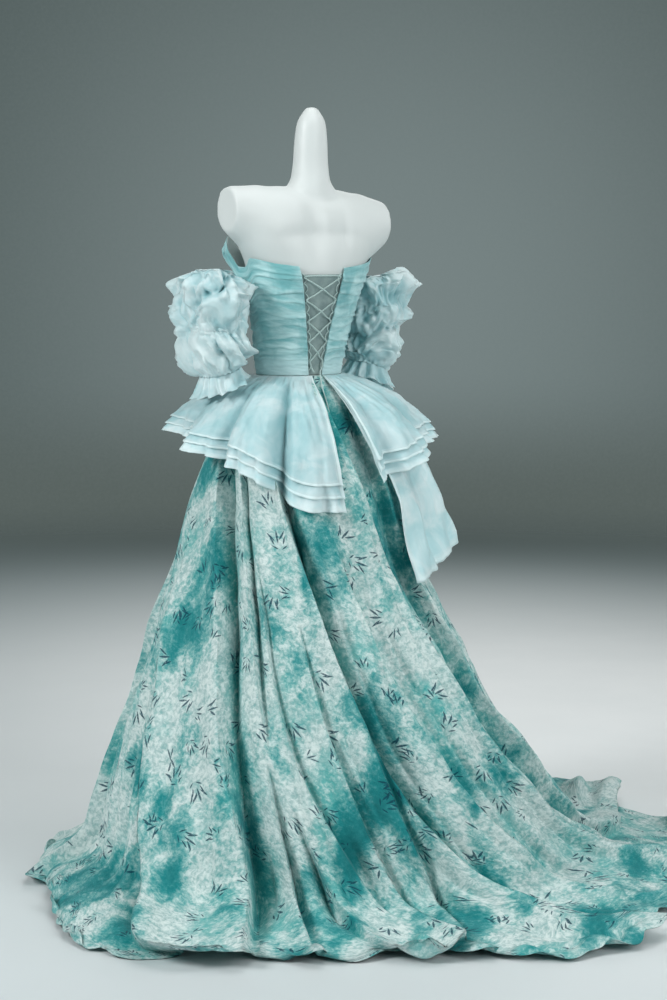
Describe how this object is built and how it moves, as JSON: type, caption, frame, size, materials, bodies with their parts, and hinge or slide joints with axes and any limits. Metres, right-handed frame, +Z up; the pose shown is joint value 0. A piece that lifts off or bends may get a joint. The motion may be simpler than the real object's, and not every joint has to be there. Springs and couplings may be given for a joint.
{
  "type": "prom dress on a dress form",
  "caption": "Laced-back dress with a printed full skirt and swept train, off-shoulder puff sleeves and layered organza peplums, standing on a limbless dress form.",
  "frame": {"origin": "centre of the underside of the stand's base, on the floor", "axes": "+Z up, front of the dress to -Y, back with the lacing to +Y, wearer's left to +X"},
  "size_m": [1.7049, 1.4477, 1.712],
  "materials": {
    "form": "white satin gloss",
    "stand": "pale grey paint",
    "print": "cloque cloth printed with soft blotches and leaf sprigs",
    "ruched": "ruched organza over a firm bodice",
    "organza": "sheer crisp organza",
    "lining": "plain white lining",
    "modesty": "plain grey panel",
    "cord": "satin rouleau cord"
  },
  "bodies": {
    "root": {"form_torso": "form", "form_pole": "stand", "form_base": "stand", "bodice_front": "ruched", "bodice_back_left": "ruched", "bodice_back_right": "ruched", "bodice_front_lining": "lining", "modesty_panel": "modesty", "loops_left": "cord", "loops_right": "cord", "lacing_cord": "cord", "skirt_left_side": "print", "skirt_left_back": "print", "skirt_back": "print", "skirt_train": "print", "skirt_right_side": "print", "skirt_right_front": "print", "skirt_front": "print", "skirt_left_front": "print", "peplum_left_under": "organza", "peplum_left_middle": "organza", "peplum_left_upper": "organza", "peplum_right_under": "organza", "peplum_right_middle": "organza", "peplum_right_upper": "organza", "peplum_side_panel": "organza", "sleeve_left_upper_puff": "organza", "sleeve_left_lower_puff": "organza", "sleeve_left_cuff_frill": "organza", "sleeve_right_upper_puff": "organza", "sleeve_right_lower_puff": "organza", "sleeve_right_cuff_frill": "organza"}
  },
  "joints": []
}
